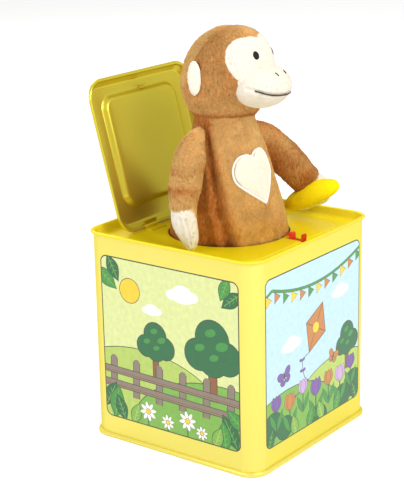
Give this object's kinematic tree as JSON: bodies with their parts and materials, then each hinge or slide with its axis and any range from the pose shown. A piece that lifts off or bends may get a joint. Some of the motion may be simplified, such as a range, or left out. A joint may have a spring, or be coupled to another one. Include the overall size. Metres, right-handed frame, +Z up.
{
  "type": "jack in the box",
  "caption": "Square tin jack-in-the-box with a hinged lid, a cranked music movement that trips the latch, and a plush monkey holding a banana on a coil spring.",
  "frame": {"origin": "centre of the flat underside of the tin box", "axes": "+Z up, -Y the side that the puppet and the latch face, +Y the lid's hinge, +X the side with the crank"},
  "size_m": [0.1892, 0.1532, 0.2877],
  "materials": {
    "tin": "glossy enamel",
    "steel": "bright drawn wire and strip",
    "red_plastic": "moulded, glossy",
    "nylon": "moulded, satin",
    "brass": "turned",
    "board": "matt board",
    "brown_plush": "short pile plush",
    "cream_plush": "short pile plush",
    "thread": "satin-stitch embroidery",
    "yellow_plush": "smooth short pile plush"
  },
  "bodies": {
    "box": {"tin_body": "tin", "bottom_plate": "tin", "top_cover": "tin", "hinge_strap_left": "tin", "hinge_strap_right": "tin", "latch_pin": "steel", "latch_bracket_left": "steel", "latch_bracket_right": "steel", "latch_spring": "steel", "movement_frame": "steel", "bearing_plate": "steel", "frame_pillars": "steel", "frame_screws": "steel", "crank_bush": "nylon", "sounding_comb": "steel", "comb_screws": "steel", "spring_base": "board", "spring_clips": "steel", "hem_ring": "steel"},
    "lid": {"lid": "tin", "hinge_wire": "steel", "lid_catch": "tin"},
    "latch": {"latch_rocker": "red_plastic"},
    "crank": {"crank_wire": "steel", "drive_pinion": "nylon", "crank_cap": "steel"},
    "knob": {"crank_knob": "red_plastic"},
    "drum": {"drum_gear": "nylon", "drum_axle": "steel", "pin_drum": "brass", "drum_pins": "steel", "release_cam": "nylon"},
    "puppet": {"main_spring": "steel", "torso_sleeve": "brown_plush", "neck_disc": "board", "head": "brown_plush", "face_patch": "cream_plush", "muzzle": "cream_plush", "eyes": "thread", "ear_left": "cream_plush", "ear_right": "cream_plush", "heart_patch": "cream_plush"},
    "right_arm": {"arm_right": "brown_plush", "hand_right": "cream_plush"},
    "left_arm": {"arm_left": "brown_plush", "hand_left": "cream_plush", "banana": "yellow_plush"}
  },
  "joints": [
    {"name": "pop_up", "type": "slide", "parent": "box", "child": "puppet", "axis": [0, 0, 1], "range_m": [-0.19, 0], "stiffness_N_per_m": 60, "springref_m": 0.05, "deforming": ["main_spring", "torso_sleeve", "muzzle", "eyes", "ear_left", "ear_right", "face_patch", "heart_patch"]},
    {"name": "lid_hinge", "type": "hinge", "parent": "box", "child": "lid", "pos_m": [0, 0.05, 0.145], "axis": [1, 0, 0], "range_deg": [0, 105]},
    {"name": "right_arm_fold", "type": "hinge", "parent": "puppet", "child": "right_arm", "pos_m": [-0.02, 0, 0.209], "axis": [0, 1, 0], "range_deg": [0, 140], "deforming": ["arm_right", "hand_right"]},
    {"name": "left_arm_fold", "type": "hinge", "parent": "puppet", "child": "left_arm", "pos_m": [0.02, -0.003, 0.209], "axis": [0, -1, 0], "range_deg": [0, 140], "deforming": ["arm_left", "hand_left", "banana"]},
    {"name": "latch_release", "type": "hinge", "parent": "box", "child": "latch", "pos_m": [0.0055, -0.055, 0.112], "axis": [1, 0, 0], "range_deg": [0, 4], "stiffness_Nm_per_rad": 0.5, "springref_deg": -5.73},
    {"name": "crank_turn", "type": "hinge", "parent": "box", "child": "crank", "pos_m": [0.07, 0, 0.07], "axis": [1, 0, 0], "continuous": true},
    {"name": "knob_spin", "type": "hinge", "parent": "crank", "child": "knob", "pos_m": [0.102, 0, 0.038], "axis": [1, 0, 0], "continuous": true},
    {"name": "drum_turn", "type": "hinge", "parent": "box", "child": "drum", "pos_m": [0.057, -0.028, 0.07], "axis": [1, 0, 0], "continuous": true}
  ],
  "couplings": [
    {"joint": "lid_hinge", "follows": "pop_up", "rad_per_m": -9.6451},
    {"joint": "right_arm_fold", "follows": "pop_up", "rad_per_m": -12.86},
    {"joint": "left_arm_fold", "follows": "pop_up", "rad_per_m": -12.86},
    {"joint": "drum_turn", "follows": "crank_turn", "ratio": -0.33333}
  ]
}
